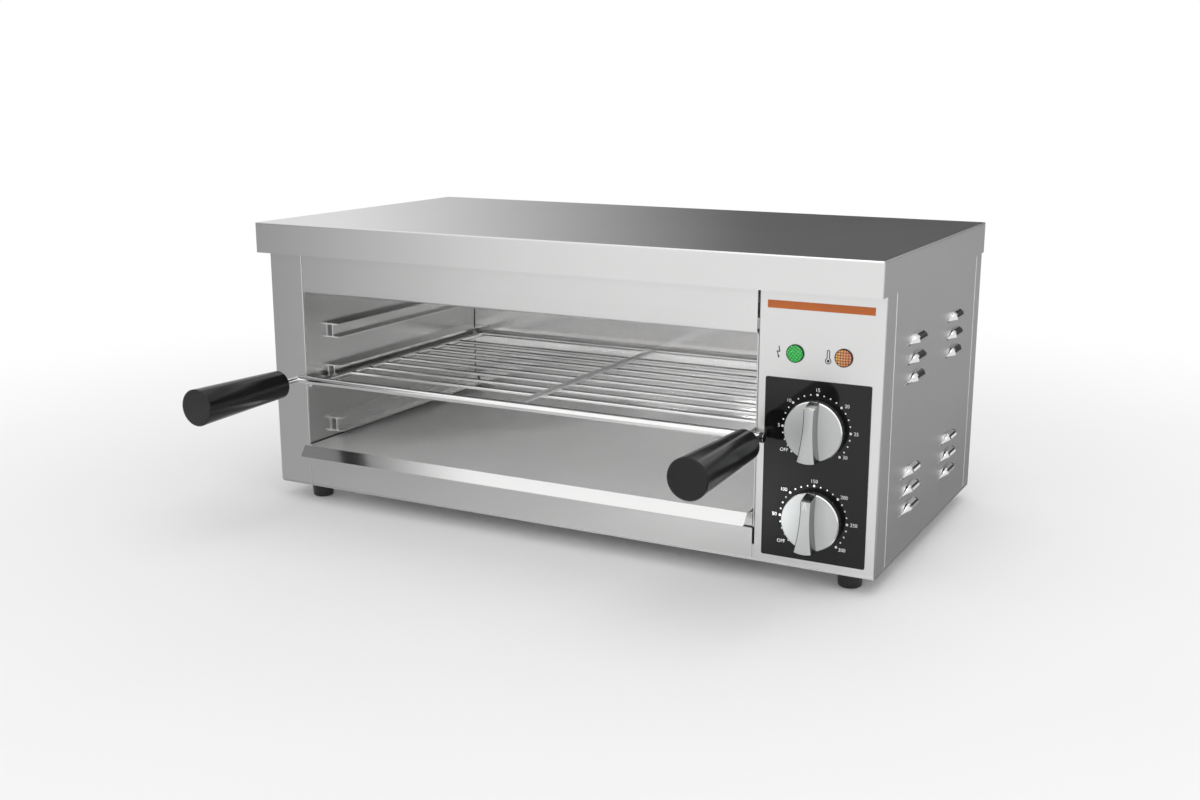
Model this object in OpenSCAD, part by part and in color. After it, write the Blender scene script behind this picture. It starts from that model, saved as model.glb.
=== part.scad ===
// Countertop cheese melter: open-fronted grill with a timer, a thermostat,
// a wire rack on three pairs of runners and a crumb tray.
// Origin: centre of the footprint at table height. +X right, +Y back, +Z up.

/* [Casing] */
// Width of the lid, the widest part of the casing
lid_w = 610; // [580:1:660]
// Depth of the lid, front edge to back edge
lid_d = 325; // [305:1:360]
// Height from the table to the top of the lid
total_h = 272; // [262:1:300]
// Height of the lid's folded skirt
lid_skirt = 28.5; // [22:0.5:34]
// How far the lid stands out over the front panels
lid_overhang = 17; // [10:1:24]
// Gap between the lid's skirt and each side cover
lid_gap = 0.5; // [0.3:0.1:1]
// Thickness of the stainless sheet
sheet = 1; // [0.8:0.1:1.2]
// Outside radius of the folded edges
bend_r = 1.5; // [1.5:0.25:3.5]
// Width of the plain strip left of the opening
strip_w = 38; // [30:1:50]
// How far the side and back covers wrap round a corner
wrap = 25; // [20:1:32]
// Gap at the seams between the casing's sheets
seam_gap = 0.3; // [0.2:0.1:0.6]

/* [Cavity] */
// Width of the cavity between its side walls
cavity_w = 463; // [440:1:480]
// Depth of the cavity behind the front panels
cavity_d = 295.5; // [280:0.5:296]
// Height of the header's lower edge above the table
header_z = 205.4; // [200:0.2:212]
// Height of the crumb tray's surface above the table
tray_z = 57; // [54:0.5:60]
// Height of the lower front panel's upper edge above the table
lower_panel_z = 42.8; // [40:0.2:45]

/* [Rack] */
// Heights of the three pairs of runners, lower edge
runner_z = [61.5, 115, 156.4];
// Height of one runner channel
runner_h = 14; // [12:0.5:16]
// Sideways play that the rack takes up in its runners
rack_shift = 1.7; // [0:0.1:1.8]
// Half the distance between the rack's side rods
rack_half = 222.3; // [215:0.1:222.5]
// Half the distance between the two grips
grip_half = 236; // [228:0.5:240]
// Radius of the front bar
front_bar_r = 4; // [3.5:0.1:4.5]
// Radius of the side rods and the handle rods
side_rod_r = 3; // [2.5:0.1:3.2]
// Radius of the rear bar
rear_bar_r = 2.5; // [2:0.1:3]
// Radius of the grille wires
wire_r = 2; // [1.5:0.1:2.4]
// Number of grille wires
wire_count = 8; // [6:1:9]
// Distance between grille wires
wire_pitch = 27.4; // [24:0.1:30]

/* [Grips] */
// How far the grips stand out in front of the lid
grip_reach = 130; // [120:1:150]
// Length of a grip
grip_len = 109; // [95:1:115]
// Radius of a grip at its free end
grip_r_front = 16.6; // [14:0.1:18]
// Radius of a grip at the rack
grip_r_rear = 13.2; // [11:0.1:14]

/* [Controls] */
// Width of the black dial plate
plate_w = 88; // [80:1:94]
// Height of the black dial plate
plate_h = 150; // [145:1:156]
// Radius of a knob's disc
knob_r = 24.4; // [22:0.2:26]
// Distance between the two knobs
knob_pitch = 75; // [70:0.5:80]
// Height of the lower knob's axis above the table
knob_z = 57.5; // [54:0.5:60]
// Height of the pilot lamps above the table
lamp_z = 192.4; // [189:0.2:196]
// Radius of a pilot lamp's lens
lens_r = 7.1; // [6:0.1:8]

/* [Louvres] */
// Length of one louvre from nose to nose
louvre_len = 69; // [60:1:76]
// Length of the straight middle of a louvre
louvre_mid = 19; // [12:1:26]
// Height of a louvre
louvre_h = 6.6; // [5:0.2:8]
// How far a louvre stands out of the side cover
louvre_out = 5.5; // [4.5:1:6.5]
// Distance between louvres one above the other
louvre_pitch = 16.1; // [14:0.1:18]

/* [Feet] */
// Height of a rubber foot
foot_h = 14.5; // [12:0.5:18]
// Radius of a rubber foot at its top
foot_r = 11; // [9:0.5:13]
// Foot centres in from the left edge of the casing
foot_in_left = 37; // [26:1:50]
// Foot centres in from the right edge of the casing
foot_in_right = 26; // [22:1:50]
// Foot centres in from the front and the back
foot_in_y = 18.5; // [16:0.5:40]

/* [Heaters] */
// Radius of the tubular heaters
heater_r = 4; // [3.2:0.1:4.2]
// Distance between neighbouring heater legs
heater_pitch = 45; // [40:1:46]
// Height of the heaters above the table
heater_z = 216; // [213:0.5:218]

/* [Hidden] */
$fn = 48;
eps = 0.01;
cut = 1;

// Cable gland: how far it stands out of the back
gland_out = 16;

// Footprint, front to back
total_d = grip_reach + lid_d - sheet + gland_out;
y_grip = -total_d / 2;
y_lid_f = y_grip + grip_reach;
y_lid_b = y_lid_f + lid_d;
yf = y_lid_f + lid_overhang;
yb = y_lid_b - sheet;

// Casing sides and heights
// The louvres stand out past the lid on the right, so the casing sits left of the origin
body_w = lid_w - 2 * sheet - 2 * lid_gap;
casing_x = -(louvre_out - sheet - lid_gap) / 2;
xl = casing_x - body_w / 2;
xr = casing_x + body_w / 2;
z_base = foot_h;
hem_gap = 0.8;
z_panel = z_base + sheet + hem_gap;
corner_r = 4;
z_skirt = total_h - lid_skirt;
z_top = total_h - sheet;
z_cover = z_top - bend_r + sheet;
lap_r = max(bend_r - sheet - 0.5, 0.2);
flange = 12;
back_flange = 9;
seam_edge = 1.8;

// Cavity
cx0 = xl + strip_w + sheet;
cx1 = cx0 + cavity_w;
cavity_mid = (cx0 + cx1) / 2;
cy1 = yf + cavity_d;
fascia_x = cx1 + sheet;
reflector_z = 228;
tray_t = 1.2;
tray_gap = 0.2;
deck_z = tray_z - tray_t - tray_gap;
deck_drop = 11.5;
deck_inset = 3;

// Runners
runner_t = 1.2;
runner_off = 3;
runner_reach = 11.5;
runner_y0 = yf + 36.5;
runner_y1 = cy1 - 2.5;

// Rack
rack_x = cavity_mid + rack_shift;
bar_y = yf - 9.5;
rear_y = yf + 288.5;
rod_z = runner_z[1] + runner_t + side_rod_r + 0.1;
bar_z = rod_z + 3.7;
rear_z = rod_z + 1.7;
wire_z = rod_z - 0.6;
wire_y0 = yf + 53;
strap_w = 8;
strap_t = 2;
strap_z = wire_z + wire_r;
grip_rod_in = 86;
bar_x = [rack_x - grip_half - 1.2, rack_x + grip_half + 5.6];

// Controls
plate_x = fascia_x + 51.1;
plate_z0 = 22;
plate_t = 0.6;
stripe_w = 88;
stripe_z = 227.6;
stripe_h = 6.3;
stripe_t = 0.3;
knob_xs = plate_x;
knob_zs = [knob_z, knob_z + knob_pitch];
bush_r = 5;
bush_gap = 0.05;
shaft_r = 3;
shaft_end = 14;
cap_z = 8.4;
knob_face = 10;
knob_turn = 2;
lamp_xs = [plate_x - 19.8, plate_x + 20.2];
ring_r = lens_r + 1.1;
lamp_hole_r = 6;

// Louvres: two columns of two groups
louvre_mid_y = yf + 155;
louvre_dy = 61.5;
louvre_tops = [201.3, 88.7];
louvre_rows = 3;
louvre_steps = 5;
louvre_fade = 8.5;
louvre_cuts = [0, 0.12, 0.22, 0.32, 0.44, 0.64, 1];

// Feet
foot_xs = [xl + foot_in_left, xr - foot_in_right];
foot_ys = [yf + foot_in_y, yb - foot_in_y];
foot_screw_r = 2.5;

// Heaters
heater_legs = 6;
heater_y0 = yf + 35;
heater_bend_x = cx0 + 24;
heater_end_x = cx1 + 24;
hanger_xs = [cx0 + 90, cx0 + 330];
ceramic_r = 6;

// Thermostat bulb and capillary
bulb_r = 3;
bulb_y = cy1 - 7;
bulb_z = 200;
bulb_x0 = cavity_mid - 20;
bulb_len = 90;
capillary_r = 1;
capillary_bend = 10;
capillary_x = knob_xs + 32;
capillary_y = yf + 20;

// Cable gland and terminals
gland_x = xr - 52;
gland_z = 44;
gland_r = 8;
cord_r = 4;

// Screws
screw_r = 2;
head_r = 3.8;
head_h = 2.2;

// ---------- Helpers ----------

module block(x, y, z) {
    translate([x[0], y[0], z[0]]) cube([x[1] - x[0], y[1] - y[0], z[1] - z[0]]);
}

module along_x(x) {
    translate([x[0], 0, 0]) rotate([90, 0, 90]) linear_extrude(x[1] - x[0]) children();
}

module along_y(y) {
    translate([0, y[1], 0]) rotate([90, 0, 0]) linear_extrude(y[1] - y[0]) children();
}

module along_z(z) {
    translate([0, 0, z[0]]) linear_extrude(z[1] - z[0]) children();
}

module rod_x(x, y, z, r) {
    translate([x[0], y, z]) rotate([0, 90, 0]) cylinder(h = x[1] - x[0], r = r);
}

module rod_y(y, x, z, r) {
    translate([x, y[1], z]) rotate([90, 0, 0]) cylinder(h = y[1] - y[0], r = r);
}

module rod_z(z, x, y, r) {
    translate([x, y, z[0]]) cylinder(h = z[1] - z[0], r = r);
}

// Flat rectangle with four round corners
module round_rect(a, b, r) {
    translate([a[0] + r, b[0]]) square([a[1] - a[0] - 2 * r, b[1] - b[0]]);
    translate([a[0], b[0] + r]) square([a[1] - a[0], b[1] - b[0] - 2 * r]);
    for (u = [a[0] + r, a[1] - r], v = [b[0] + r, b[1] - r])
        translate([u, v]) circle(r = r);
}

// Box with round upright edges and a round upper rim
module lid_form(x, y, z, r) {
    intersection() {
        along_z(z) round_rect(x, y, r);
        along_y([y[0] - cut, y[1] + cut]) round_rect(x, [z[0] - r, z[1]], r);
        along_x([x[0] - cut, x[1] + cut]) round_rect(y, [z[0] - r, z[1]], r);
    }
}

// The same form upside down
module pan_form(x, y, z, r) {
    translate([0, 0, z[0] + z[1]]) mirror([0, 0, 1]) lid_form(x, y, z, r);
}

// Plan of the four casing covers, before it is cut into separate sheets
module casing_ring() {
    difference() {
        round_rect([xl, xr], [yf, yb], bend_r);
        round_rect([xl + sheet, xr - sheet], [yf + sheet, yb - sheet], bend_r - sheet);
    }
}

module casing_part(x, y) {
    intersection() {
        casing_ring();
        translate([x[0], y[0]]) square([x[1] - x[0], y[1] - y[0]]);
    }
}

// Places a part with its own +Z towards the user
module on_front(x, z) {
    translate([x, yf, z]) rotate([90, 0, 0]) children();
}

// ---------- Casing ----------

module top_cover() {
    hem = 11;
    x = [casing_x - lid_w / 2, casing_x + lid_w / 2];
    color("silver") {
        difference() {
            lid_form(x, [y_lid_f, y_lid_b], [z_skirt, total_h], bend_r);
            lid_form([x[0] + sheet, x[1] - sheet], [y_lid_f + sheet, y_lid_b - sheet],
                     [z_skirt - cut, z_top], bend_r - sheet);
            for (p = lid_screw_xs())
                rod_y([yb - cut, y_lid_b + cut], p, z_skirt + 14, screw_r);
        }
        block([x[0] + 2 * sheet, x[1] - 2 * sheet], [y_lid_f + sheet - eps, y_lid_f + hem],
              [z_skirt, z_skirt + sheet]);
    }
}

function lid_screw_xs() = [casing_x - 220, casing_x, casing_x + 220];

// Upper edge of the base pan's flanges, where the covers' inner laps begin
function z_lap() = z_panel + flange;

// Plan of the laps and flanges just inside the casing
module lap_ring() {
    difference() {
        round_rect([xl + sheet, xr - sheet], [yf + sheet, yb - sheet], bend_r - sheet);
        round_rect([xl + 2 * sheet, xr - 2 * sheet], [yf + 2 * sheet, yb - 2 * sheet], lap_r);
    }
}

// Seam on the right side between the side cover and the back panel
function y_seam() = yb - wrap + 3;

// Plan of the gap and the bevelled edge where a sheet on the right side begins
module seam_bevel(y) {
    front = y + seam_gap;
    polygon([
        [xr - sheet - cut, y - cut], [xr - sheet - cut, front], [xr - 0.7 * sheet, front],
        [xr, front + seam_edge], [xr + cut, front + seam_edge], [xr + cut, y - cut]
    ]);
}

// Rounds the lower left corner of the front sheets
module corner_cut() {
    difference() {
        block([xl - cut, xl + corner_r], [yf - cut, yf + bend_r], [z_base - cut, z_base + corner_r]);
        rod_y([yf - 2 * cut, yf + bend_r + cut], xl + corner_r, z_base + corner_r, corner_r);
    }
}

module left_side_cover() {
    strip_edge = 0.8 * sheet;
    color("silver") {
        difference() {
            along_z([z_panel, z_cover]) {
                casing_part([xl - cut, cx0 - sheet], [yf - cut, yb - wrap]);
                casing_part([xl - cut, xl + wrap], [yf + wrap, yb + cut]);
            }
            along_z([z_panel - cut, z_cover + cut]) translate([cx0 - sheet, yf])
                polygon([[-strip_edge, -cut], [-strip_edge, 0], [0, strip_edge], [cut, -cut]]);
            corner_cut();
        }
        block([cx0 - 2 * sheet, cx0 - sheet], [yf + sheet - eps, yf + flange], [z_lap(), z_cover]);
        block([xl + wrap - 10, xl + wrap + flange], [yb - 2 * sheet, yb - sheet],
              [z_lap(), z_skirt]);
    }
}

function round_off(v) = round(v * 1000) / 1000;

// Part of a louvre's full height at a distance from its straight middle
function louvre_share(d) = 1 / (1 + pow(d / louvre_fade, 3));

// Section of a louvre: from inside the sheet over the round top to the open lower edge
function louvre_section(y, share, h, out, depth) = concat(
    [[-depth, y, round_off(h * share - h)]],
    [for (i = [0:louvre_steps]) let (a = 90 * i / louvre_steps)
        [round_off(out * share * sin(a)), y, round_off(h * share * cos(a) - h)]],
    [[-depth, y, -h]]
);

// One pressed louvre with its own origin at the panel face, at its upper edge
module louvre_form(length, mid, h, out, depth) {
    nose = (length - mid) / 2;
    ys = concat([for (i = [len(louvre_cuts) - 1:-1:0]) -mid / 2 - louvre_cuts[i] * nose],
                [for (c = louvre_cuts) mid / 2 + c * nose]);
    sides = louvre_steps + 3;
    last = (len(ys) - 1) * sides;
    skin = [for (i = [0:len(ys) - 2], k = [0:sides - 1])
        let (a = i * sides + k, b = i * sides + (k + 1) % sides)
        each [[b, a, a + sides], [b, a + sides, b + sides]]];
    polyhedron(
        points = [for (y = ys) each louvre_section(round_off(y), louvre_share(abs(y) - mid / 2),
                                                   h, out, depth)],
        faces = concat([[for (k = [0:sides - 1]) k]], [[for (k = [sides - 1:-1:0]) last + k]], skin)
    );
}

module louvre_places() {
    for (y = [louvre_mid_y - louvre_dy, louvre_mid_y + louvre_dy], top = louvre_tops,
         i = [0:louvre_rows - 1])
        translate([xr, y, top - i * louvre_pitch]) children();
}

module right_side_cover() {
    color("silver") {
        difference() {
            union() {
                along_z([z_panel, z_cover]) difference() {
                    casing_part([xr - bend_r, xr + cut], [yf + wrap, y_seam()]);
                    seam_bevel(yf + wrap);
                }
                louvre_places()
                    louvre_form(louvre_len, louvre_mid, louvre_h, louvre_out, sheet / 2);
            }
            louvre_places() translate([0, 0, -sheet])
                louvre_form(louvre_len - 12, louvre_mid - 2, louvre_h, louvre_out - sheet, sheet + cut);
        }
        block([xr - 2 * sheet, xr - sheet], [yf + wrap - 10, yf + wrap + 5], [z_lap(), z_skirt]);
        along_z([z_lap(), z_skirt]) intersection() {
            lap_ring();
            translate([xr - 15, y_seam() - 1]) square([15, wrap]);
        }
    }
}

module back_panel() {
    color("silver") difference() {
        along_z([z_panel, z_cover]) difference() {
            casing_part([xl + wrap, xr + cut], [y_seam(), yb + cut]);
            seam_bevel(y_seam());
        }
        for (p = back_screws())
            rod_y([yb - 2 * sheet, yb + cut], p[0], p[1], screw_r);
        for (p = lid_screw_xs())
            rod_y([yb - 2 * sheet, yb + cut], p, z_skirt + 14, screw_r);
        rod_y([yb - 2 * sheet, yb + cut], gland_x, gland_z, gland_r);
    }
}

function back_screws() = [for (x = [xl + wrap + 6, xr - 9], z = [40, 130, 225]) [x, z]];

module base_pan() {
    x = [xl + sheet, xr - sheet];
    y = [yf + sheet, yb - sheet];
    color("silver") difference() {
        union() {
            along_z([z_base, z_base + sheet]) round_rect([xl, xr], [yf, yb], bend_r);
            along_z([z_base, z_lap()]) round_rect(x, y, bend_r - sheet);
        }
        pan_form([x[0] + sheet, x[1] - sheet], [y[0] + sheet, y[1] - sheet],
                 [z_base + sheet, z_lap() + cut], lap_r);
        corner_cut();
        for (fx = foot_xs, fy = foot_ys)
            rod_z([z_base - cut, z_base + 2 * sheet], fx, fy, foot_screw_r);
    }
}

module header_panel() {
    x = [cx0, cx1 - 0.5];
    depth = 16;
    color("silver") {
        intersection() {
            difference() {
                along_x(x) round_rect([yf, yf + 60], [header_z, z_top + 60], bend_r);
                along_x([x[0] - cut, x[1] + cut])
                    round_rect([yf + sheet, yf + 61], [header_z + sheet, z_top + 61], bend_r - sheet);
            }
            block([x[0] - cut, x[1] + cut], [yf - cut, yf + depth], [header_z - cut, z_top]);
        }
        block(x, [yf + sheet - eps, yf + flange], [z_top - sheet, z_top]);
    }
}

module lower_front_panel() {
    x = [cx0, cx1 - 0.5];
    corner = 2;
    color("silver") intersection() {
        difference() {
            along_x(x) round_rect([yf, yf + 40], [z_panel - 30, lower_panel_z], bend_r);
            along_x([x[0] - cut, x[1] + cut])
                round_rect([yf + sheet, yf + 41], [z_panel - 31, lower_panel_z - sheet], bend_r - sheet);
        }
        along_y([yf - cut, yf + flange]) round_rect(x, [z_panel - corner, lower_panel_z], corner);
        block([x[0] - cut, x[1] + cut], [yf - cut, yf + flange], [z_panel, lower_panel_z + cut]);
    }
}

module control_fascia() {
    edge_r = 1.3;
    color("silver") difference() {
        union() {
            along_z([z_panel, z_lap()]) casing_part([fascia_x, xr + cut], [yf - cut, yf + wrap]);
            along_z([z_lap() - eps, z_cover])
                casing_part([fascia_x + edge_r, xr + cut], [yf - cut, yf + wrap]);
            along_z([z_lap(), z_cover]) intersection() {
                difference() {
                    round_rect([fascia_x, fascia_x + 60], [yf, yf + 60], edge_r);
                    round_rect([fascia_x + sheet, fascia_x + 61], [yf + sheet, yf + 61], edge_r - sheet);
                }
                translate([fascia_x - cut, yf - cut]) square([edge_r + cut + eps, edge_r + cut]);
            }
            block([fascia_x, fascia_x + sheet], [yf + edge_r - eps, yf + flange], [z_lap(), z_cover]);
        }
        for (z = knob_zs) rod_y([yf - cut, yf + 2 * sheet], knob_xs, z, bush_r);
        for (x = lamp_xs) rod_y([yf - cut, yf + 2 * sheet], x, lamp_z, lamp_hole_r);
    }
}

module dial_plate() {
    color("black") difference() {
        along_y([yf - plate_t, yf])
            round_rect([plate_x - plate_w / 2, plate_x + plate_w / 2],
                       [plate_z0, plate_z0 + plate_h], 1.5);
        for (z = knob_zs) rod_y([yf - plate_t - cut, yf + cut], knob_xs, z, bush_r);
    }
}

module accent_stripe() {
    color("chocolate")
        block([plate_x - stripe_w / 2, plate_x + stripe_w / 2], [yf - stripe_t, yf],
              [stripe_z, stripe_z + stripe_h]);
}

// ---------- Cavity ----------

module cavity_left_wall() {
    color("gainsboro") {
        block([cx0 - sheet, cx0], [yf, cy1 + sheet], [z_lap(), z_top]);
        block([cx0 - sheet, cx0], [yf, yf + sheet], [z_panel, z_lap() + eps]);
    }
}

module cavity_right_wall() {
    x = [cx1, cx1 + sheet];
    recess = 6;
    color("gainsboro") difference() {
        union() {
            block(x, [yf + recess, cy1 + sheet], [z_lap(), z_top]);
            block(x, [yf + seam_gap, yf + recess + eps], [lower_panel_z + seam_gap, header_z - seam_gap]);
        }
        for (i = [0:heater_legs - 1])
            rod_x([cx1 - cut, cx1 + 2 * sheet], heater_y0 + i * heater_pitch, heater_z, heater_r);
        rod_x([cx1 - cut, cx1 + 2 * sheet], bulb_y, bulb_z, capillary_r);
    }
}

module cavity_back_wall() {
    color("gainsboro") {
        block([cx0 + 0.8, cx1], [cy1, cy1 + sheet], [deck_z, reflector_z]);
        block([cx0, cx1], [cy1 + sheet - eps, cy1 + back_flange],
              [reflector_z - sheet, reflector_z]);
    }
}

module heat_reflector() {
    color("gainsboro") {
        block([cx0, cx1], [yf + 16, cy1 + back_flange], [reflector_z, reflector_z + sheet]);
        block([cx0, cx1], [yf + 16, yf + 16 + sheet], [reflector_z + sheet - eps, z_top]);
    }
}

module cavity_floor() {
    x0 = cx0 + deck_inset;
    x1 = cx1 - deck_inset;
    low = deck_z - deck_drop;
    color("gainsboro") {
        intersection() {
            difference() {
                along_x([cx0, cx1 - 0.5]) round_rect([yf, cy1 + 60], [deck_z - 60, deck_z], 1.5);
                along_x([cx0 - cut, cx1 + cut])
                    round_rect([yf + sheet, cy1 + 61], [deck_z - 61, deck_z - sheet], 0.5);
            }
            union() {
                block([x0, x1], [yf - cut, cy1 + back_flange], [low, deck_z + cut]);
                block([cx0 - cut, cx1 + cut], [yf - cut, yf + 4], [low, deck_z + cut]);
            }
        }
        for (s = [0, 1]) {
            wall_x = s == 0 ? x0 : x1 - sheet;
            foot_x = s == 0 ? cx0 : x1 - sheet;
            block([wall_x, wall_x + sheet], [yf + sheet, cy1], [low, deck_z - sheet + eps]);
            block([foot_x, foot_x + deck_inset + sheet], [yf + sheet, cy1], [low, low + sheet]);
        }
    }
}

// ---------- Runners ----------

// Channel with its web just off the wall, both flanges welded to the wall and a tab
// that closes the gap at its front end
module runner(z) {
    y = [runner_y0, runner_y1];
    block([runner_off, runner_off + runner_t], y, [z, z + runner_h]);
    for (low = [z, z + runner_h - runner_t])
        block([0, runner_reach], y, [low, low + runner_t]);
    block([0, runner_off + eps], [runner_y0, runner_y0 + runner_t], [z, z + runner_h]);
}

module left_runners() {
    color("gainsboro") for (z = runner_z) translate([cx0, 0, 0]) runner(z);
}

module right_runners() {
    color("gainsboro") for (z = runner_z)
        translate([cx1, 0, 0]) mirror([1, 0, 0]) runner(z);
}

// ---------- Heaters ----------

// One hairpin: two legs and a round return bend
module hairpin(first) {
    y0 = heater_y0 + first * heater_pitch;
    y1 = y0 + heater_pitch;
    bend_x = heater_bend_x + heater_pitch / 2;
    color("dimgray") {
        rod_x([bend_x, heater_end_x], y0, heater_z, heater_r);
        rod_x([bend_x, heater_end_x], y1, heater_z, heater_r);
        translate([bend_x, (y0 + y1) / 2, heater_z]) rotate([0, 0, 90])
            rotate_extrude(angle = 180) translate([heater_pitch / 2, 0]) circle(r = heater_r);
    }
}

module heater_insulators() {
    stud_r = 1.8;
    color("ivory") for (i = [0:heater_legs - 1]) {
        y = heater_y0 + i * heater_pitch;
        rod_x([heater_end_x, heater_end_x + 10], y, heater_z, ceramic_r);
        rod_x([heater_end_x + 10 - eps, heater_end_x + 20], y, heater_z, stud_r);
    }
}

module heater_hangers() {
    y0 = heater_y0 - 12;
    y1 = heater_y0 + (heater_legs - 1) * heater_pitch + 12;
    color("silver") for (x = hanger_xs) difference() {
        union() {
            block([x, x + 1.2], [y0, y1], [heater_z - 7, reflector_z]);
            block([x, x + 12], [y0, y1], [reflector_z - 1.2, reflector_z]);
        }
        for (i = [0:heater_legs - 1])
            rod_x([x - cut, x + 1.2 + cut], heater_y0 + i * heater_pitch, heater_z, heater_r);
    }
}

// ---------- Controls ----------

// Sensing bulb on the back wall, with its capillary led round to the thermostat
module thermostat_bulb() {
    r = capillary_bend;
    x_turn = capillary_x - r;
    y_turn = capillary_y + r;
    color("peru") {
        rod_x([bulb_x0, bulb_x0 + bulb_len], bulb_y, bulb_z, bulb_r);
        rod_x([bulb_x0 + bulb_len - eps, x_turn], bulb_y, bulb_z, capillary_r);
        translate([x_turn, bulb_y - r, bulb_z]) capillary_turn();
        rod_y([y_turn, bulb_y - r], capillary_x, bulb_z, capillary_r);
        translate([capillary_x, y_turn, bulb_z - r]) rotate([0, 90, 0]) rotate([0, 0, 180])
            capillary_turn();
        rod_z([knob_z + r, bulb_z - r], capillary_x, capillary_y, capillary_r);
        translate([x_turn, capillary_y, knob_z + r]) rotate([-90, 0, 0]) capillary_turn();
        rod_x([knob_xs + 18, x_turn], capillary_y, knob_z, capillary_r);
    }
}

// Quarter turn of the capillary, from +X round to +Y
module capillary_turn() {
    rotate_extrude(angle = 90) translate([capillary_bend, 0]) circle(r = capillary_r);
}

module bulb_clips() {
    color("silver") for (x = [bulb_x0 + 15, bulb_x0 + 70]) difference() {
        union() {
            rod_x([x, x + 6], bulb_y, bulb_z, bulb_r + 1);
            block([x, x + 6], [bulb_y, cy1], [bulb_z - 1.5, bulb_z + bulb_r + 1]);
        }
        rod_x([x - cut, x + 7], bulb_y, bulb_z, bulb_r);
    }
}

// Threaded bush that clamps a control behind the fascia
module control_bush() {
    difference() {
        translate([0, 0, -sheet - eps]) cylinder(h = sheet + plate_t + 1 + eps, r = bush_r);
        translate([0, 0, -sheet - cut]) cylinder(h = 10, r = shaft_r + bush_gap);
    }
}

module thermostat_body() {
    color("silver") on_front(knob_xs, knob_zs[0]) {
        control_bush();
        difference() {
            union() {
                translate([0, 0, -sheet - 9]) cylinder(h = 9, r = 19);
                translate([-21, -17, -sheet - 24]) cube([42, 34, 15 + eps]);
            }
            translate([0, 0, -sheet - 14]) cylinder(h = 20, r = shaft_r + bush_gap);
            translate([18, 0, yf - capillary_y]) rotate([0, 90, 0]) cylinder(h = 8, r = capillary_r);
        }
        for (x = [-12, 0, 12])
            translate([x - 3.15, -6, -sheet - 32]) cube([6.3, 0.8, 8 + eps]);
    }
}

module timer_body() {
    color("gray") on_front(knob_xs, knob_zs[1]) {
        control_bush();
        difference() {
            union() {
                along_z([-sheet - 3, -sheet]) round_rect([-22, 22], [-26, 26], 4);
                along_z([-sheet - 38, -sheet - 3 + eps]) round_rect([-21, 21], [-21, 21], 3);
            }
            translate([0, 0, -sheet - 14]) cylinder(h = 20, r = shaft_r + bush_gap);
        }
        for (x = [-12, 0, 12])
            translate([x - 3.15, 8, -sheet - 46]) cube([6.3, 0.8, 8 + eps]);
    }
}

// Lens with a gently domed face
module lens() {
    dome_r = 26;
    face = 2.6;
    intersection() {
        cylinder(h = face, r = lens_r);
        translate([0, 0, face - dome_r]) sphere(r = dome_r, $fn = 96);
    }
}

module green_lens() {
    color("limegreen") on_front(lamp_xs[0], lamp_z) lens();
}

module amber_lens() {
    color("darkorange") on_front(lamp_xs[1], lamp_z) lens();
}

module lamp_bezels() {
    color("black") for (x = lamp_xs) on_front(x, lamp_z) difference() {
        cylinder(h = 1.4, r = ring_r);
        translate([0, 0, -cut]) cylinder(h = 4, r = lens_r);
    }
}

module lamp_bodies() {
    color("white") for (x = lamp_xs) on_front(x, lamp_z) {
        translate([0, 0, -26]) cylinder(h = 26, r = lamp_hole_r);
        translate([0, 0, -sheet - 2]) cylinder(h = 2, r = lamp_hole_r + 1.6);
        for (s = [-3, 2.2]) translate([-2.4, s, -34]) cube([4.8, 0.8, 8 + eps]);
    }
}

// Silver cap of a knob: a disc and a flared grip bar, concave on both sides, with a
// slanted pointer end and a round lower end
module knob_form() {
    bevel = 0.8;
    bar_top = 22.4;
    bar_half_top = 3.9;
    side_r = 170;
    side_y = 12;
    tip_y = knob_r - 0.2;
    slant = 15.5;
    draft = 1.1;
    color("silver") rotate([0, 0, -knob_turn]) difference() {
        union() {
            translate([0, 0, cap_z]) cylinder(h = knob_face - cap_z - bevel, r = knob_r);
            translate([0, 0, knob_face - bevel - eps])
                cylinder(h = bevel + eps, r1 = knob_r, r2 = knob_r - bevel);
            intersection() {
                along_z([cap_z, bar_top]) difference() {
                    translate([-12, -knob_r]) square([24, 2 * knob_r]);
                    for (s = [-1, 1])
                        translate([s * (side_r + bar_half_top), side_y]) circle(r = side_r, $fn = 180);
                }
                translate([0, 0, cap_z])
                    cylinder(h = bar_top - cap_z, r1 = knob_r, r2 = knob_r - draft);
            }
        }
        translate([-13, tip_y, knob_face]) rotate([slant, 0, 0]) cube([26, 10, 20]);
        translate([0, 0, cap_z - cut]) cylinder(h = shaft_end - cap_z + cut, r = shaft_r);
    }
}

// Black body of a knob, behind the cap
module knob_base_form() {
    back = plate_t + 0.4;
    skirt = 5;
    color("black") difference() {
        union() {
            translate([0, 0, back]) cylinder(h = skirt, r = knob_r + 0.4);
            translate([0, 0, back + skirt - eps]) cylinder(h = cap_z - back - skirt + eps, r = knob_r - 0.4);
        }
        translate([0, 0, -cut]) cylinder(h = plate_t + 2 + cut, r = bush_r + 1);
        translate([0, 0, -cut]) cylinder(h = cap_z + 2 * cut, r = shaft_r);
    }
}

module knob_shaft_form() {
    color("silver") translate([0, 0, -sheet - 13]) cylinder(h = sheet + 13 + shaft_end, r = shaft_r);
}

module timer_knob() { on_front(knob_xs, knob_zs[1]) knob_form(); }
module timer_knob_base() { on_front(knob_xs, knob_zs[1]) knob_base_form(); }
module timer_shaft() { on_front(knob_xs, knob_zs[1]) knob_shaft_form(); }
module thermostat_knob() { on_front(knob_xs, knob_zs[0]) knob_form(); }
module thermostat_knob_base() { on_front(knob_xs, knob_zs[0]) knob_base_form(); }
module thermostat_shaft() { on_front(knob_xs, knob_zs[0]) knob_shaft_form(); }

// ---------- Supply ----------

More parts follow.
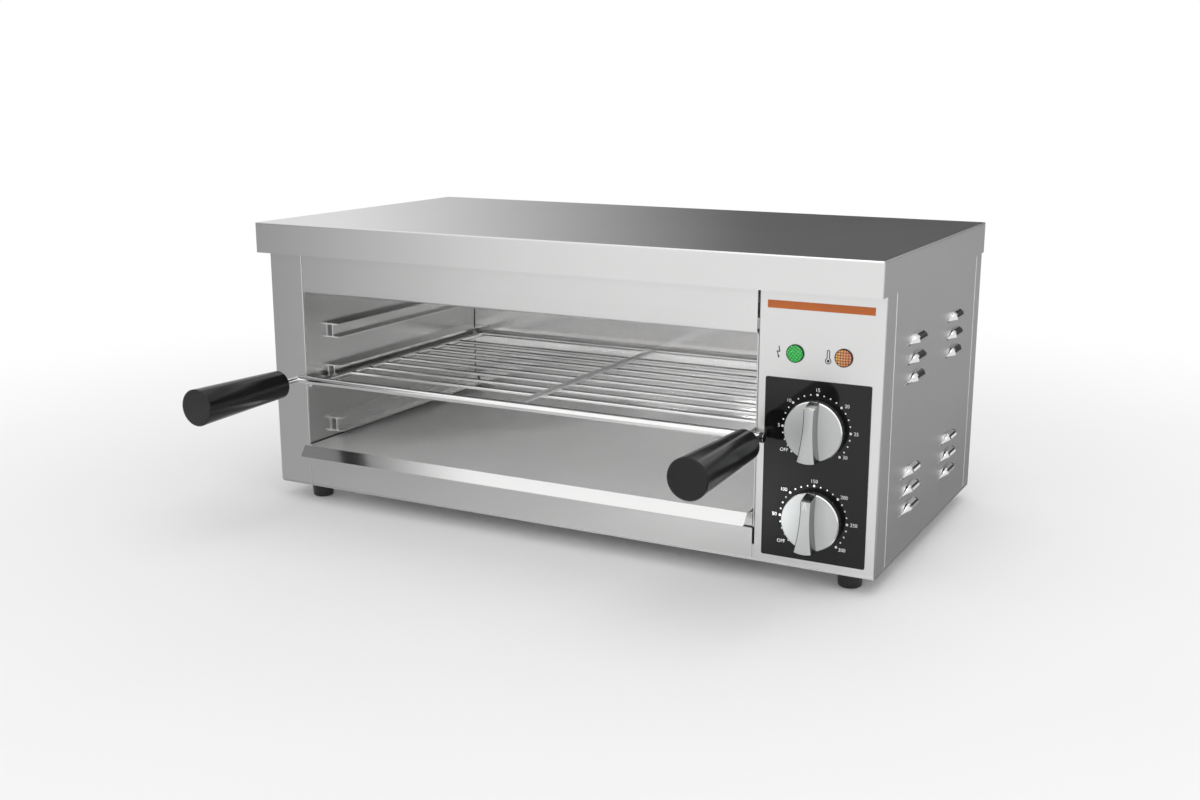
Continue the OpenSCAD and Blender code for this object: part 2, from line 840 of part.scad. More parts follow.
module terminal_block() {
    x = gland_x;
    y = yb - 70;
    base = z_base + sheet;
    color("white") difference() {
        union() {
            block([x - 22, x + 22], [y - 11, y + 11], [base, base + 12]);
            block([x - 20, x + 20], [y - 7, y + 7], [base + 12 - eps, base + 20]);
        }
        for (i = [-1, 0, 1]) {
            rod_y([y - 12, y + 12], x + 13 * i, base + 15, 2.2);
            rod_z([base + 17, base + 21], x + 13 * i, y, 2);
        }
    }
}

module cable_gland() {
    color("dimgray") difference() {
        union() {
            translate([gland_x, yb, gland_z]) rotate([-90, 0, 0]) {
                cylinder(h = 5, r = 12, $fn = 6);
                translate([0, 0, 5 - eps]) cylinder(h = 7 + eps, r = 9.4);
                translate([0, 0, 12 - eps]) cylinder(h = gland_out - 12 + eps, r1 = 9.4, r2 = 6.6);
            }
            rod_y([yb - 11, yb + eps], gland_x, gland_z, gland_r);
        }
        rod_y([yb - 12, yb + gland_out + cut], gland_x, gland_z, cord_r);
    }
}

module gland_locknut() {
    color("dimgray") difference() {
        translate([gland_x, yb - sheet - 5, gland_z]) rotate([-90, 0, 0])
            cylinder(h = 5, r = 12, $fn = 6);
        rod_y([yb - 8, yb], gland_x, gland_z, gland_r);
    }
}

// ---------- Feet and screws ----------

module foot_form() {
    low_r = foot_r - 1.2;
    edge = 2;
    difference() {
        rotate_extrude() {
            polygon([[0, 0], [low_r - edge, 0], [low_r, edge], [foot_r, foot_h], [0, foot_h]]);
            translate([low_r - edge, edge]) circle(r = edge);
        }
        translate([0, 0, 6]) cylinder(h = foot_h, r = foot_screw_r);
        translate([0, 0, -cut]) cylinder(h = 7 + cut, r = 5);
    }
}

module feet() {
    color("black") for (x = foot_xs, y = foot_ys) translate([x, y, 0]) foot_form();
}

module foot_screws() {
    color("silver") for (x = foot_xs, y = foot_ys) {
        rod_z([4, 7], x, y, 4.5);
        rod_z([7 - eps, z_base + sheet + 6], x, y, foot_screw_r);
    }
}

module screw_head() {
    cylinder(h = head_h * 0.5, r = head_r);
    translate([0, 0, head_h * 0.5 - eps]) cylinder(h = head_h * 0.5 + eps, r1 = head_r, r2 = head_r * 0.62);
}

module casing_screw(x, z, y, len) {
    translate([x, y, z]) rotate([-90, 0, 0]) difference() {
        union() {
            screw_head();
            translate([0, 0, -len]) cylinder(h = len + eps, r = screw_r);
        }
        translate([0, 0, head_h * 0.45]) cylinder(h = head_h, r = 1.45, $fn = 6);
    }
}

module casing_screws() {
    color("silver") {
        for (p = back_screws()) casing_screw(p[0], p[1], yb, sheet);
        for (x = lid_screw_xs()) casing_screw(x, z_skirt + 14, y_lid_b, 2 * sheet + 4);
    }
}

// ---------- Rack ----------

module front_bar_form() {
    rod_x(bar_x, bar_y, bar_z, front_bar_r);
}

module side_rods_form() {
    for (s = [-1, 1])
        rod_y([bar_y, rear_y + 4], rack_x + s * rack_half, rod_z, side_rod_r);
}

module rear_bar_form() {
    rod_x([rack_x - rack_half, rack_x + rack_half], rear_y, rear_z, rear_bar_r);
}

module wires_form() {
    for (i = [0:wire_count - 1])
        rod_x([rack_x - rack_half, rack_x + rack_half], wire_y0 + i * wire_pitch, wire_z, wire_r);
}

module rack_front_bar() {
    color("silver") front_bar_form();
}

module rack_side_rods() {
    color("silver") difference() {
        side_rods_form();
        front_bar_form();
    }
}

module rack_rear_bar() {
    color("silver") difference() {
        rear_bar_form();
        side_rods_form();
    }
}

module rack_wires() {
    color("silver") difference() {
        wires_form();
        side_rods_form();
    }
}

module rack_centre_strap() {
    color("silver") difference() {
        block([rack_x - strap_w / 2, rack_x + strap_w / 2], [bar_y + 2, rear_y],
              [strap_z - 0.3, strap_z - 0.3 + strap_t]);
        front_bar_form();
        rear_bar_form();
        wires_form();
    }
}

module grip_rods() {
    y_rear = y_grip + grip_len;
    color("silver") difference() {
        for (x = [rack_x - grip_half, rack_x + grip_half]) {
            rod_y([y_rear - grip_rod_in, bar_y], x, bar_z, side_rod_r);
            translate([x, bar_y, bar_z]) sphere(r = side_rod_r);
        }
        front_bar_form();
    }
}

module grip_form(x) {
    edge = 0.8;
    color("black") translate([x, y_grip, bar_z]) rotate([-90, 0, 0]) difference() {
        rotate_extrude() polygon([
            [0, 0], [grip_r_front - edge, 0], [grip_r_front, edge],
            [grip_r_rear, grip_len - edge], [grip_r_rear - edge, grip_len], [0, grip_len]
        ]);
        translate([0, 0, grip_len - grip_rod_in]) cylinder(h = grip_rod_in + cut, r = side_rod_r);
    }
}

module left_grip() { grip_form(rack_x - grip_half); }
module right_grip() { grip_form(rack_x + grip_half); }

// ---------- Crumb tray ----------

module crumb_tray() {
    x = [cx0 + deck_inset - 0.4, cx1 - deck_inset + 0.4];
    front = yf - 7;
    lip_drop = 9.7;
    lip_out = 7.5;
    lip_x = [cx0 - 1, cx1 - 2.5];
    color("silver") {
        block(x, [front, cy1 - 2], [tray_z - tray_t, tray_z]);
        intersection() {
            along_x(lip_x) polygon([
                [front, tray_z], [front - lip_out, tray_z - lip_drop],
                [front - lip_out + 1, tray_z - lip_drop - 0.8], [front + 1.2, tray_z - tray_t],
                [front + 1.2, tray_z]
            ]);
            along_y([front - lip_out - cut, front + 2 * cut])
                round_rect(lip_x, [tray_z - lip_drop - 0.8, tray_z + 10], 3);
        }
    }
}

// ---------- Parts ----------

top_cover();
left_side_cover();
right_side_cover();
back_panel();
base_pan();
header_panel();
lower_front_panel();
control_fascia();
dial_plate();
accent_stripe();
cavity_left_wall();
cavity_right_wall();
cavity_back_wall();
heat_reflector();
cavity_floor();
left_runners();
right_runners();
hairpin(0);  // front_heater
hairpin(2);  // middle_heater
hairpin(4);  // rear_heater
heater_insulators();
heater_hangers();
thermostat_bulb();
bulb_clips();
thermostat_body();
timer_body();
green_lens();
amber_lens();
lamp_bezels();
lamp_bodies();
terminal_block();
cable_gland();
gland_locknut();
feet();
foot_screws();
casing_screws();
timer_knob();
timer_knob_base();
timer_shaft();
thermostat_knob();
thermostat_knob_base();
thermostat_shaft();
rack_front_bar();
rack_side_rods();
rack_rear_bar();
rack_wires();
rack_centre_strap();
grip_rods();
left_grip();
right_grip();
crumb_tray();
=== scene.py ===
import math

import bmesh
import bpy
from mathutils import Matrix, Vector


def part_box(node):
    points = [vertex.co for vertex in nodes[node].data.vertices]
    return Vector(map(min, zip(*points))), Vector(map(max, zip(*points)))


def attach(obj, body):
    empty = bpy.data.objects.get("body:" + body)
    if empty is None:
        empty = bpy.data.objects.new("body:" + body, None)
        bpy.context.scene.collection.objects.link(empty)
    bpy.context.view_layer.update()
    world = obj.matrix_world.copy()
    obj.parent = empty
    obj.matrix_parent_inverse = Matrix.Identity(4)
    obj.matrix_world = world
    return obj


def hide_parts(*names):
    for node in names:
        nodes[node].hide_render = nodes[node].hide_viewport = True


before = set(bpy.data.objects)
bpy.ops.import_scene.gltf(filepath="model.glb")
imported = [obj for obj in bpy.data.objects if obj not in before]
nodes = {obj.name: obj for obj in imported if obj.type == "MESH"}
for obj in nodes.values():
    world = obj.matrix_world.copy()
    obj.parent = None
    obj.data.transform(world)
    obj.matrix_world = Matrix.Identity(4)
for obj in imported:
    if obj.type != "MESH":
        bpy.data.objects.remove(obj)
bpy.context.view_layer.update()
scene = bpy.context.scene

MM = 0.001


def front_centre(node):
    """The middle of a node as the user sees it, in x and z."""
    low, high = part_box(node)
    return (low.x + high.x) / 2, (low.z + high.z) / 2


# ---------- Camera ----------

CAMERA_AT = (0.6001, -1.1164, 0.4064)
CAMERA_AZIMUTH = math.radians(27.99)
CAMERA_ELEVATION = math.radians(13.10)
CAMERA_LENS = 41.75
SENSOR_WIDTH = 36
FARTHEST_SEEN = 60


def add_camera():
    back = Vector((
        math.sin(CAMERA_AZIMUTH) * math.cos(CAMERA_ELEVATION),
        -math.cos(CAMERA_AZIMUTH) * math.cos(CAMERA_ELEVATION),
        math.sin(CAMERA_ELEVATION),
    ))
    data = bpy.data.cameras.new("camera")
    data.sensor_width = SENSOR_WIDTH
    data.lens = CAMERA_LENS
    data.clip_end = FARTHEST_SEEN
    camera = bpy.data.objects.new("camera", data)
    camera.rotation_euler = (-back).to_track_quat("-Z", "Y").to_euler()
    camera.location = CAMERA_AT
    scene.collection.objects.link(camera)
    scene.camera = camera


# ---------- Colours ----------

WHITE = (1, 1, 1, 1)


def grey(level):
    return (level, level, level)


def steel(level):
    """Tone of bare steel: a grey that is a trace warmer than neutral."""
    return (level, level, level - 0.005)


def tint(colour, factor):
    return tuple(min(1.0, c * factor) for c in colour)


# ---------- Node tree helpers ----------

class Nodes:
    """A short way to write the node tree of a material or of the world."""

    def __init__(self, owner, output="ShaderNodeOutputMaterial"):
        owner.use_nodes = True
        self.owner = owner
        self.tree = owner.node_tree
        self.tree.nodes.clear()
        self.out = self.add(output)

    def add(self, kind, inputs=None, **settings):
        node = self.tree.nodes.new(kind)
        for key, value in settings.items():
            setattr(node, key, value)
        for key, value in (inputs or {}).items():
            if isinstance(value, bpy.types.NodeSocket):
                self.tree.links.new(value, node.inputs[key])
            else:
                node.inputs[key].default_value = value
        return node

    def calc(self, operation, *values):
        return self.add("ShaderNodeMath", dict(enumerate(values)), operation=operation).outputs[0]

    def own(self, output="Object"):
        """The object's own coordinates, in metres, or its own normals."""
        return self.add("ShaderNodeTexCoord").outputs[output]

    def split(self, vector, axis):
        return self.add("ShaderNodeSeparateXYZ", {0: vector}).outputs[axis]

    def coords(self, scale=(1, 1, 1)):
        return self.add("ShaderNodeMapping", {"Vector": self.own(), "Scale": scale}).outputs["Vector"]

    def place(self, axis):
        """One of the object's own coordinates, in metres."""
        return self.split(self.own(), axis)

    def within(self, value, low, high):
        """1 where a value lies between two limits, else 0."""
        above = self.calc("GREATER_THAN", value, low)
        below = self.calc("LESS_THAN", value, high)
        return self.calc("MULTIPLY", above, below)

    def noise(self, vector, scale, detail=2.0):
        return self.add("ShaderNodeTexNoise", {
            "Vector": vector, "Scale": scale, "Detail": detail}).outputs["Fac"]

    def span(self, value, low, high, from_low=0.3, from_high=0.7):
        """From low to high as a value goes between two limits, which by default suit noise."""
        return self.add("ShaderNodeMapRange", {
            "Value": value, "From Min": from_low, "From Max": from_high,
            "To Min": low, "To Max": high}).outputs["Result"]

    def smooth(self, value, from_low, from_high, low=0, high=1):
        """From low to high, with soft ends, as a value goes between two limits."""
        return self.add("ShaderNodeMapRange", {
            "Value": value, "From Min": from_low, "From Max": from_high,
            "To Min": low, "To Max": high}, interpolation_type="SMOOTHSTEP").outputs["Result"]

    def blend(self, factor, a, b):
        node = self.add("ShaderNodeMix", data_type="RGBA")
        self.tree.links.new(factor, node.inputs["Factor"])
        for socket, value in ((node.inputs[6], a), (node.inputs[7], b)):
            if isinstance(value, bpy.types.NodeSocket):
                self.tree.links.new(value, socket)
            else:
                socket.default_value = (*value, 1)
        return node.outputs[2]

    def drift(self, colour, scale, darker, lighter):
        """A cloud of noise, and a colour that drifts with it between two tints."""
        cloud = self.noise(self.coords(), scale, 3.0)
        return cloud, self.blend(self.span(cloud, 0, 1), tint(colour, darker), tint(colour, lighter))

    def bump(self, height, strength, distance):
        return self.add("ShaderNodeBump", {
            "Height": height, "Strength": strength, "Distance": distance}).outputs["Normal"]

    def principled(self, colour, roughness, normal=None, **constants):
        inputs = {"Roughness": roughness}
        inputs.update({key.replace("_", " "): value for key, value in constants.items()})
        shader = self.add("ShaderNodeBsdfPrincipled", inputs)
        if isinstance(colour, bpy.types.NodeSocket):
            self.tree.links.new(colour, shader.inputs["Base Color"])
        else:
            shader.inputs["Base Color"].default_value = (*colour, 1)
        if normal is not None:
            self.tree.links.new(normal, shader.inputs["Normal"])
        return self.surface(shader)

    def mixed(self, factor, a, b):
        return self.surface(self.add("ShaderNodeMixShader", {0: factor, 1: a.outputs[0], 2: b.outputs[0]}))

    def surface(self, shader):
        self.tree.links.new(shader.outputs[0], self.out.inputs["Surface"])
        return self.owner


def new_material(name):
    return Nodes(bpy.data.materials.new(name))


# ---------- Kinds of finish ----------

# Scale of the brushed grain: long along one axis, fine across it
GRAIN = {"x": (4, 1600, 1600), "y": (1600, 4, 1600)}
GRAIN_DEPTH = 0.04 * MM
MOULD_DEPTH = 0.03 * MM

# Clouds of tone: their scale, and the darker and the lighter tint
SHEET_CLOUDS = (9.0, 0.98, 1.01)
ROD_CLOUDS = (25.0, 0.96, 1.03)
PLASTIC_CLOUDS = (40.0, 0.93, 1.05)

# Painted highlight along the rounded edges at the seams: a near-white, rougher band
SEAM_PAINTED_HIGHLIGHT = grey(0.98)
SEAM_HIGHLIGHT_ROUGHNESS = 0.6


def brushed(name, colour, rough, grain="x", relief=0.02, metal=1.0, polished_at=None, polished_axis="Y",
            seam_highlights=()):
    """Brushed sheet. polished_at is a band along polished_axis with a finer finish, as (low, high,
    roughness); the last argument lists bands of Y with a painted highlight, a lighter and rougher edge."""
    n = new_material(name)
    lines = n.noise(n.coords(GRAIN[grain]), 1.0, 3.0)
    _, tone = n.drift(colour, *SHEET_CLOUDS)
    roughness = n.span(lines, rough - 0.02, rough + 0.03)
    if polished_at:
        low, high, fine = polished_at
        fine_band = n.within(n.place(polished_axis), low, high)
        roughness = n.span(fine_band, roughness, fine, 0, 1)
        metal = n.span(fine_band, metal, 1.0, 0, 1)
    for low, high in seam_highlights:
        edge = n.within(n.place("Y"), low, high)
        # Painted highlight on the seam's edge
        tone = n.blend(edge, tone, SEAM_PAINTED_HIGHLIGHT)
        roughness = n.span(edge, roughness, SEAM_HIGHLIGHT_ROUGHNESS, 0, 1)
    return n.principled(tone, roughness, n.bump(lines, relief, GRAIN_DEPTH), Metallic=metal)


# The three pairs of runners: the height of each channel's foot, and of its gap above that
RUNNER_LEVELS = (61.5 * MM, 115.0 * MM, 156.4 * MM)
RUNNER_GAP = (1.3 * MM, 12.7 * MM)
# Dark grey on the runners' front tabs: painted shade of the recess between web and wall
TAB_PAINTED_SHADE = grey(0.16)


def runner_sheet(name, colour, rough, low_x, high_x):
    """Smooth sheet whose front tabs, between the web and the wall, are darkened with painted shade."""
    n = new_material(name)
    cloud, tone = n.drift(colour, *SHEET_CLOUDS)
    height = n.place("Z")
    beside = n.within(n.place("X"), low_x, high_x)
    for level in RUNNER_LEVELS:
        in_gap = n.within(height, level + RUNNER_GAP[0], level + RUNNER_GAP[1])
        # Painted shade on each front tab
        tone = n.blend(n.calc("MULTIPLY", beside, in_gap), tone, TAB_PAINTED_SHADE)
    return n.principled(tone, n.span(cloud, rough - 0.01, rough + 0.02), Metallic=1.0)


def polished(name, colour, rough, metal=1.0):
    n = new_material(name)
    cloud, tone = n.drift(colour, *ROD_CLOUDS)
    return n.principled(tone, n.span(cloud, rough * 0.8, rough * 1.25), Metallic=metal)


def moulded(name, colour, rough, grain_size=1500.0, relief=0.08, **constants):
    n = new_material(name)
    fine = n.noise(n.coords(), grain_size)
    cloud, tone = n.drift(colour, *PLASTIC_CLOUDS)
    roughness = n.span(cloud, rough * 0.9, rough * 1.15)
    return n.principled(tone, roughness, n.bump(fine, relief, MOULD_DEPTH), **constants)


# Cap tones: the flank tone is darker than the front as painted shade, and the two edge tones are a painted
# highlight and painted shade
CAP_FRONT = (0.57, 0.585, 0.58)
CAP_FLANK_PAINTED_SHADE = (0.46, 0.475, 0.47)
CAP_EDGE_PAINTED_HIGHLIGHT = steel(0.97)
CAP_EDGE_PAINTED_SHADE = grey(0.10)
# Y of a normal, where -1 faces the user and 0 is a flank: from front to flank, and on a rounded edge
CAP_FACING = (-0.97, -0.75)
CAP_ROUNDED = (-0.955, -0.35)
# Sum of X and Z of a normal: from painted shade to a painted highlight on a rounded edge
CAP_TURNED = (-0.2, 0.2)


def satin_cap(name):
    """Silver cap: satin on the faces towards the user, smoother metal on its flanks, whose darker tone
    is painted shade. Its rounded front edges carry a painted highlight where they turn up or right,
    and painted shade where they turn left or down."""
    n = new_material(name)
    normal = n.own("Normal")
    facing = n.split(normal, "Y")
    front = n.smooth(facing, *CAP_FACING, 1, 0)
    # Flanks darker than the front: painted shade
    tone = n.blend(front, CAP_FLANK_PAINTED_SHADE, CAP_FRONT)
    turned = n.calc("ADD", n.split(normal, "X"), n.split(normal, "Z"))
    # Rounded edges: painted highlight where they turn up or right, painted shade where they turn left or
    # down
    edge = n.blend(n.smooth(turned, *CAP_TURNED), CAP_EDGE_PAINTED_SHADE, CAP_EDGE_PAINTED_HIGHLIGHT)
    tone = n.blend(n.within(facing, *CAP_ROUNDED), tone, edge)
    fine = n.noise(n.coords(), 2500.0)
    return n.principled(tone, n.span(front, 0.24, 0.44, 0, 1), n.bump(fine, 0.04, MOULD_DEPTH),
                        Metallic=n.span(front, 1.0, 0.5, 0, 1))


# The grid of the two lenses: its pitch, how far each is turned, and where the painted shade in the groove
# between two pyramids begins and is darkest, in pitches from the pyramid's middle
LENS_PITCH = 2.2 * MM
LENS_TURN = {"green": 0.6, "amber": 0.0}
LENS_GROOVE_SHADE = (0.22, 0.46)


def gridded(name, node, turn, left, right, groove_shade):
    """Clear coloured plastic, lighter at its left and darker at its right as painted light, with
    painted shade in the grooves between its small pyramids."""
    low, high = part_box(node)
    x0, z0 = front_centre(node)
    n = new_material(name)
    cells = n.add("ShaderNodeMapping", {
        "Vector": n.own(), "Location": (x0, 0, z0), "Rotation": (0, turn, 0), "Scale": (LENS_PITCH,) * 3,
    }, vector_type="TEXTURE").outputs["Vector"]
    from_middle = [n.calc("ABSOLUTE", n.calc("SUBTRACT", n.calc("FRACT", n.split(cells, axis)), 0.5))
                   for axis in ("X", "Z")]
    line = n.calc("MAXIMUM", *from_middle)
    # Painted light: lighter at the left, darker towards the right
    clear = n.blend(n.smooth(n.place("X"), low.x, high.x), left, right)
    # Painted shade in the grooves between the pyramids
    tone = n.blend(n.smooth(line, *LENS_GROOVE_SHADE), clear, groove_shade)
    return n.principled(tone, n.span(line, 0.22, 0.3, 0, 0.5))


def heated_sheath(name):
    n = new_material(name)
    spots = n.noise(n.coords(), 60.0, 4.0)
    tone = n.blend(n.span(spots, 0, 1), (0.055, 0.05, 0.045), (0.12, 0.11, 0.10))
    fine = n.noise(n.coords(), 1800.0)
    return n.principled(tone, n.span(spots, 0.42, 0.6), n.bump(fine, 0.15, GRAIN_DEPTH), Metallic=0.7)


# ---------- Materials ----------

STEEL = (0.755, 0.755, 0.752)
SHEET_ROUGHNESS = 0.30

# Bands with a finer finish, as (low, high, roughness): X past the side sheet, and Y of the tray's lip
LOUVRES = (301.85 * MM, 309.0 * MM, 0.08)
TRAY_LIP = (-120.0 * MM, -94.5 * MM, 0.14)

# Bands of Y with a painted highlight on a seam's rounded edge: the front of the right side cover, and of
# the back panel's wrap
SIDE_EDGE = (-62.8 * MM, -60.9 * MM)
BACK_EDGE = (197.0 * MM, 199.2 * MM)

# X of the runners' front tabs
LEFT_TABS = (-266.6 * MM, -263.55 * MM)
RIGHT_TABS = (193.55 * MM, 196.6 * MM)


def metals():
    return {
        "sheet": brushed("stainless_brushed_across", STEEL, SHEET_ROUGHNESS),
        "side": brushed("stainless_brushed_side", STEEL, SHEET_ROUGHNESS, "y", polished_at=LOUVRES,
                        polished_axis="X", seam_highlights=[SIDE_EDGE]),
        "back_sheet": brushed("stainless_brushed_back", STEEL, SHEET_ROUGHNESS, seam_highlights=[BACK_EDGE]),
        "back_wall": brushed("stainless_back_wall", steel(0.97), 0.16, relief=0.01, metal=0.75),
        "cavity": brushed("stainless_smooth_cavity", steel(0.70), 0.20, "y", relief=0.01),
        "left_channel": runner_sheet("stainless_left_channels", steel(0.82), 0.20, *LEFT_TABS),
        "right_channel": runner_sheet("stainless_right_channels", steel(0.82), 0.20, *RIGHT_TABS),
        "tray": brushed("stainless_bright_tray", steel(0.88), 0.38, relief=0.0, metal=0.66,
                        polished_at=TRAY_LIP),
        "rack": polished("rack_bright_rod", steel(0.93), 0.11),
        "strap": polished("rack_satin_strap", steel(0.93), 0.40, 0.7),
        "heater": heated_sheath("heater_sheath_dark"),
        "copper": polished("copper_bare", (0.66, 0.38, 0.25), 0.3),
        "plated": polished("control_plated_steel", (0.58, 0.58, 0.57), 0.32),
        "screw": polished("screw_bright_plated", grey(0.70), 0.2),
        "knob_silver": satin_cap("knob_silver_satin"),
    }


def lamp_plastics():
    return {
        "green": gridded("lens_green_plastic", "green_lens", LENS_TURN["green"],
                         left=(0.06, 0.70, 0.13), right=(0.07, 0.66, 0.14), groove_shade=(0.015, 0.27, 0.04)),
        "amber": gridded("lens_amber_plastic", "amber_lens", LENS_TURN["amber"],
                         left=(1.0, 0.52, 0.14), right=(0.75, 0.27, 0.17), groove_shade=(0.24, 0.085, 0.04)),
        "bezel": moulded("lamp_bezel_gloss", grey(0.02), 0.2),
        "green_rim": moulded("lamp_rim_green", (0.004, 0.045, 0.010), 0.5, Specular_IOR_Level=0.2),
        "amber_rim": moulded("lamp_rim_amber", (0.050, 0.018, 0.010), 0.5, Specular_IOR_Level=0.2),
    }


def other_materials():
    return {
        "ceramic": moulded("ceramic_glazed", (0.86, 0.83, 0.76), 0.25),
        "white": moulded("white_plastic_matt", (0.80, 0.80, 0.77), 0.5),
        "gland": moulded("gland_plastic_matt", grey(0.03), 0.5),
        "rubber": moulded("foot_rubber_matt", grey(0.010), 0.42, 700.0, 0.1),
        "knob_mark": moulded("knob_mark_pale", (0.80, 0.81, 0.805), 0.4),
        # Painted shade for the strip along the knob bars' left front edge
        "knob_edge_shade": moulded("knob_painted_edge_shade", grey(0.03), 0.5, Specular_IOR_Level=0.2),
        "knob_black": moulded("knob_black_gloss", grey(0.008), 0.10, 900.0, 0.02),
        "grip": moulded("grip_black_gloss", grey(0.006), 0.22, 300.0, 0.03, Specular_IOR_Level=0.35),
        "dial": moulded("dial_black_gloss", grey(0.006), 0.05, 300.0, 0.01, Specular_IOR_Level=0.38),
        "stripe": moulded("stripe_orange_satin", (0.60, 0.145, 0.018), 0.38),
        "print_white": moulded("print_white_ink", grey(0.93), 0.5),
        "print_black": moulded("print_black_ink", grey(0.012), 0.5),
    }


NODE_LOOK = {
    "top_cover": "sheet", "left_side_cover": "sheet", "right_side_cover": "side",
    "back_panel": "back_sheet", "base_pan": "sheet", "header_panel": "sheet",
    "lower_front_panel": "sheet", "control_fascia": "sheet",
    "dial_plate": "dial", "accent_stripe": "stripe",
    "cavity_left_wall": "cavity", "cavity_right_wall": "cavity", "cavity_back_wall": "back_wall",
    "heat_reflector": "back_wall", "cavity_floor": "cavity",
    "left_runners": "left_channel", "right_runners": "right_channel",
    "front_heater": "heater", "middle_heater": "heater", "rear_heater": "heater",
    "heater_insulators": "ceramic", "heater_hangers": "cavity",
    "thermostat_bulb": "copper", "bulb_clips": "cavity",
    "thermostat_body": "plated", "timer_body": "plated",
    "green_lens": "green", "amber_lens": "amber", "lamp_bezels": "bezel",
    "lamp_bodies": "white", "terminal_block": "white",
    "cable_gland": "gland", "gland_locknut": "gland",
    "feet": "rubber", "foot_screws": "screw", "casing_screws": "screw",
    "timer_knob": "knob_silver", "thermostat_knob": "knob_silver",
    "timer_knob_base": "knob_black", "thermostat_knob_base": "knob_black",
    "timer_shaft": "screw", "thermostat_shaft": "screw",
    "rack_front_bar": "rack", "rack_side_rods": "rack", "rack_rear_bar": "rack",
    "rack_wires": "rack", "rack_centre_strap": "strap", "grip_rods": "rack",
    "left_grip": "grip", "right_grip": "grip",
    "crumb_tray": "tray",
}


def dress_nodes(looks):
    for name, look in NODE_LOOK.items():
        mesh = nodes[name].data
        mesh.materials.clear()
        mesh.materials.append(looks[look])


# ---------- Mesh helpers ----------

WELD = 0.001 * MM
FLAT_ANGLE = math.radians(1)
SHARP_ANGLE = math.radians(35)

# Largest angle in degrees between faces that are shaded as one: on the knobs, and on round parts
KNOB_SHADING = 40
ROUND_SHADING = 50


def make_piece(name, bm, look, body):
    mesh = bpy.data.meshes.new(name)
    bm.to_mesh(mesh)
    bm.free()
    mesh.materials.append(look)
    piece = bpy.data.objects.new(name, mesh)
    scene.collection.objects.link(piece)
    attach(piece, body)
    return piece


def smooth_by_angle(piece, degrees):
    for polygon in piece.data.polygons:
        polygon.use_smooth = True
    piece.data.set_sharp_from_angle(angle=math.radians(degrees))


def plain_copy(node):
    """A node's mesh with its points welded and its flat faces each in one piece."""
    bm = bmesh.new()
    bm.from_mesh(nodes[node].data)
    bmesh.ops.remove_doubles(bm, verts=bm.verts, dist=WELD)
    bmesh.ops.dissolve_limit(bm, angle_limit=FLAT_ANGLE, verts=bm.verts, edges=bm.edges)
    return bm


def add_soft_copy(name, node, look, body, width):
    """A node's shape with its sharp edges slightly rounded, shown in place of the node."""
    bm = plain_copy(node)
    sharp = [e for e in bm.edges if len(e.link_faces) == 2 and e.calc_face_angle(0) > SHARP_ANGLE]
    bmesh.ops.bevel(bm, geom=sharp, offset=width, segments=2, profile=0.5, affect="EDGES",
                    clamp_overlap=True)
    piece = make_piece(name, bm, look, body)
    smooth_by_angle(piece, KNOB_SHADING)
    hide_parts(node)


def text_mesh(bm, words, size, centre, thick):
    """Adds flat upright lettering that faces the user, centred on a point."""
    curve = bpy.data.curves.new("lettering", "FONT")
    curve.body = words
    curve.align_x = "CENTER"
    curve.align_y = "CENTER"
    curve.extrude = thick / 2 / size
    holder = bpy.data.objects.new("lettering", curve)
    scene.collection.objects.link(holder)
    bpy.context.view_layer.update()
    mesh = bpy.data.meshes.new_from_object(holder.evaluated_get(bpy.context.evaluated_depsgraph_get()))
    mesh.transform(Matrix.Translation(centre) @ Matrix.Rotation(math.radians(90), 4, "X")
                   @ Matrix.Scale(size, 4))
    bm.from_mesh(mesh)
    bpy.data.objects.remove(holder)
    bpy.data.curves.remove(curve)
    bpy.data.meshes.remove(mesh)


def arc_points(x, z, r, steps, start, sweep):
    """Points along an arc, with both its ends."""
    angles = [start + sweep * i / steps for i in range(steps + 1)]
    return [(x + r * math.cos(a), z + r * math.sin(a)) for a in angles]


def circle_points(x, z, r, count):
    return arc_points(x, z, r, count, 0.0, 2 * math.pi)[:-1]


def add_ring(bm, points, y):
    return [bm.verts.new((x, y, z)) for x, z in points]


def join_rings(bm, rings):
    """Adds the faces between each ring of points and the next."""
    for a, b in zip(rings, rings[1:]):
        for i in range(len(a)):
            j = (i + 1) % len(a)
            bm.faces.new((a[i], a[j], b[j], b[i]))


def add_prism(bm, points, y, thick):
    """Adds a thin plate that faces the user, from its outline in x and z."""
    front = add_ring(bm, points, y - thick)
    back = add_ring(bm, points, y)
    bm.faces.new(front)
    bm.faces.new(back[::-1])
    join_rings(bm, [back, front])


def add_band(bm, outer, inner, y, thick):
    """Adds a thin ring between two outlines with the same number of points."""
    outer_front, inner_front, outer_back, inner_back = [
        add_ring(bm, line, y - depth) for depth in (thick, 0) for line in (outer, inner)]
    join_rings(bm, [outer_back, outer_front, inner_front, inner_back, outer_back])


# ---------- Dials ----------

INK = 0.04 * MM
DOT_RING = 28.4 * MM
LARGE_DOT = 1.05 * MM
SMALL_DOT = 0.68 * MM
DOT_POINTS = 16
LABEL_SIZE = 4.1 * MM

# Degrees of the first mark, and from each mark to the next, as the user sees the dial
FIRST_MARK = 225
MARK_STEP = 45
MARK_STEPS = 6
SMALL_STEPS = 4

# Each label with its place in mm from the knob's centre, to the right and up
TIMER_LABELS = [("OFF", -26.6, -19.7), ("5", -31.6, 0.2), ("10", -23.6, 21.4), ("15", 0.2, 32.1),
                ("20", 24.6, 21.6), ("25", 32.9, 0.0), ("30", 24.6, -20.0)]
THERMOSTAT_LABELS = [("OFF", -26.8, -22.0), ("50", -33.2, 0.2), ("100", -25.7, 22.1),
                     ("150", -0.2, 32.1), ("200", 25.2, 22.0), ("250", 34.0, 0.1),
                     ("300", 25.0, -22.0)]


